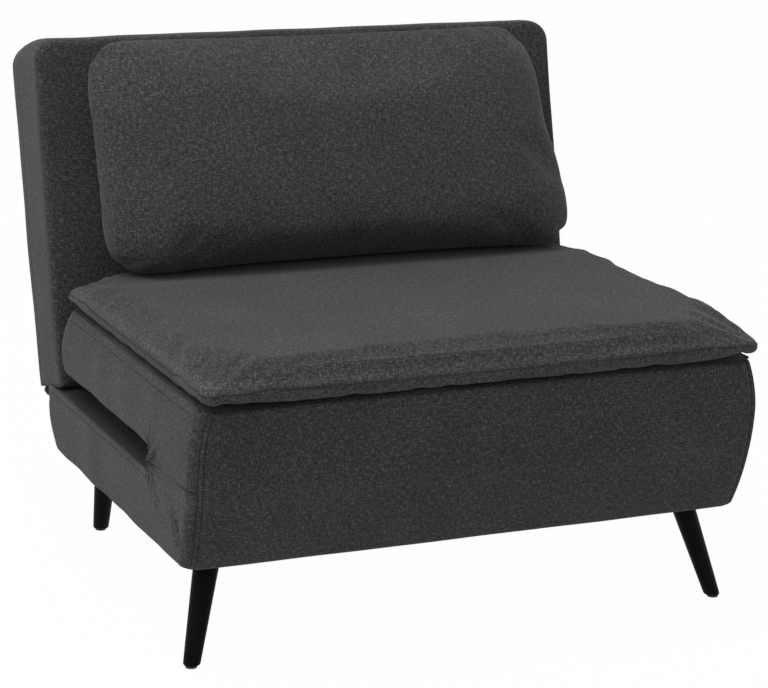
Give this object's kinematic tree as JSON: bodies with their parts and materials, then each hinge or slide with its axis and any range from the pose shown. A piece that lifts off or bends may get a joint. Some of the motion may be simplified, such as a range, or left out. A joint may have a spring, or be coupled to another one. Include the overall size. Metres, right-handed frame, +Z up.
{
  "type": "convertible chair bed",
  "caption": "Armless upholstered chair that opens to a single bed: flip-over seat section with folding leg hoop, reclining backrest, loose topper and back cushion.",
  "frame": {"origin": "on the floor under the middle of the folded chair's bounding box", "axes": "+X to the sitter's left, +Y from the front towards the backrest, +Z up"},
  "size_m": [0.932, 0.919, 0.8223],
  "materials": {
    "charcoal_fabric": "melange weave, matte",
    "seat_weave": "melange weave, matte",
    "foam": "open-cell foam",
    "dust_cloth": "non-woven, matte",
    "webbing": "elastic webbing",
    "grip_strip": "hook and loop",
    "pine": "sawn, unfinished",
    "birch": "planed, clear",
    "black_wood": "black satin lacquer",
    "zinc_steel": "zinc plated",
    "black_steel": "black powder coat",
    "glide": "hard plastic",
    "sleeve": "soft rubber"
  },
  "bodies": {
    "base": {"base_side_rails": "pine", "base_front_rail": "pine", "base_rear_rail": "pine", "base_corner_blocks": "pine", "base_slats": "birch", "base_foam": "foam", "base_cover": "charcoal_fabric", "base_top_panel": "charcoal_fabric", "front_cover_lower": "charcoal_fabric", "base_dust_cover": "dust_cloth", "leg_plates": "zinc_steel", "leg_studs": "zinc_steel", "front_left_leg": "black_wood", "front_right_leg": "black_wood", "rear_left_leg": "black_wood", "rear_right_leg": "black_wood", "foot_glides": "glide", "base_hinge_leaves": "zinc_steel", "base_hinge_screws": "zinc_steel", "fold_hinge_pins": "zinc_steel", "back_pivot_plates": "zinc_steel", "back_pivot_pins": "zinc_steel"},
    "seat_section": {"seat_side_rails": "pine", "seat_front_rail": "pine", "seat_rear_rail": "pine", "seat_slats": "birch", "seat_foam": "foam", "seat_cover": "charcoal_fabric", "seat_under_panel": "charcoal_fabric", "front_cover_upper": "charcoal_fabric", "seat_hinge_leaves": "zinc_steel", "seat_hinge_screws": "zinc_steel", "hoop_brackets": "zinc_steel", "hoop_pins": "zinc_steel", "seat_grip_strips": "grip_strip"},
    "leg_hoop": {"leg_hoop": "black_steel", "hoop_sleeves": "sleeve"},
    "backrest": {"back_side_posts": "pine", "back_top_rail": "pine", "back_bottom_rail": "pine", "back_webbing": "webbing", "back_front_foam": "foam", "back_rear_foam": "foam", "back_cover": "charcoal_fabric", "back_hem": "charcoal_fabric", "back_hinge_arms": "zinc_steel"},
    "loose_pads": {"seat_topper": "seat_weave", "topper_grip_strips": "grip_strip", "back_cushion": "seat_weave"}
  },
  "joints": [
    {"name": "seat_fold", "type": "hinge", "parent": "base", "child": "seat_section", "pos_m": [0, -0.44912, 0.289], "axis": [1, 0, 0], "range_deg": [0, 180]},
    {"name": "leg_hoop_swing", "type": "hinge", "parent": "seat_section", "child": "leg_hoop", "pos_m": [0, 0.14816, 0.388], "axis": [-1, 0, 0], "range_deg": [0, 90]},
    {"name": "pads_set_aside", "type": "hinge", "parent": "seat_section", "child": "loose_pads", "pos_m": [0, 0.2984, 0.494], "axis": [-1, 0, 0], "range_deg": [0, 180]},
    {"name": "back_recline", "type": "hinge", "parent": "base", "child": "backrest", "pos_m": [0, 0.2534, 0.197], "axis": [-1, 0, 0], "range_deg": [0, 77]}
  ],
  "couplings": [
    {"joint": "leg_hoop_swing", "follows": "seat_fold", "ratio": 0.5},
    {"joint": "pads_set_aside", "follows": "seat_fold", "ratio": 1}
  ]
}
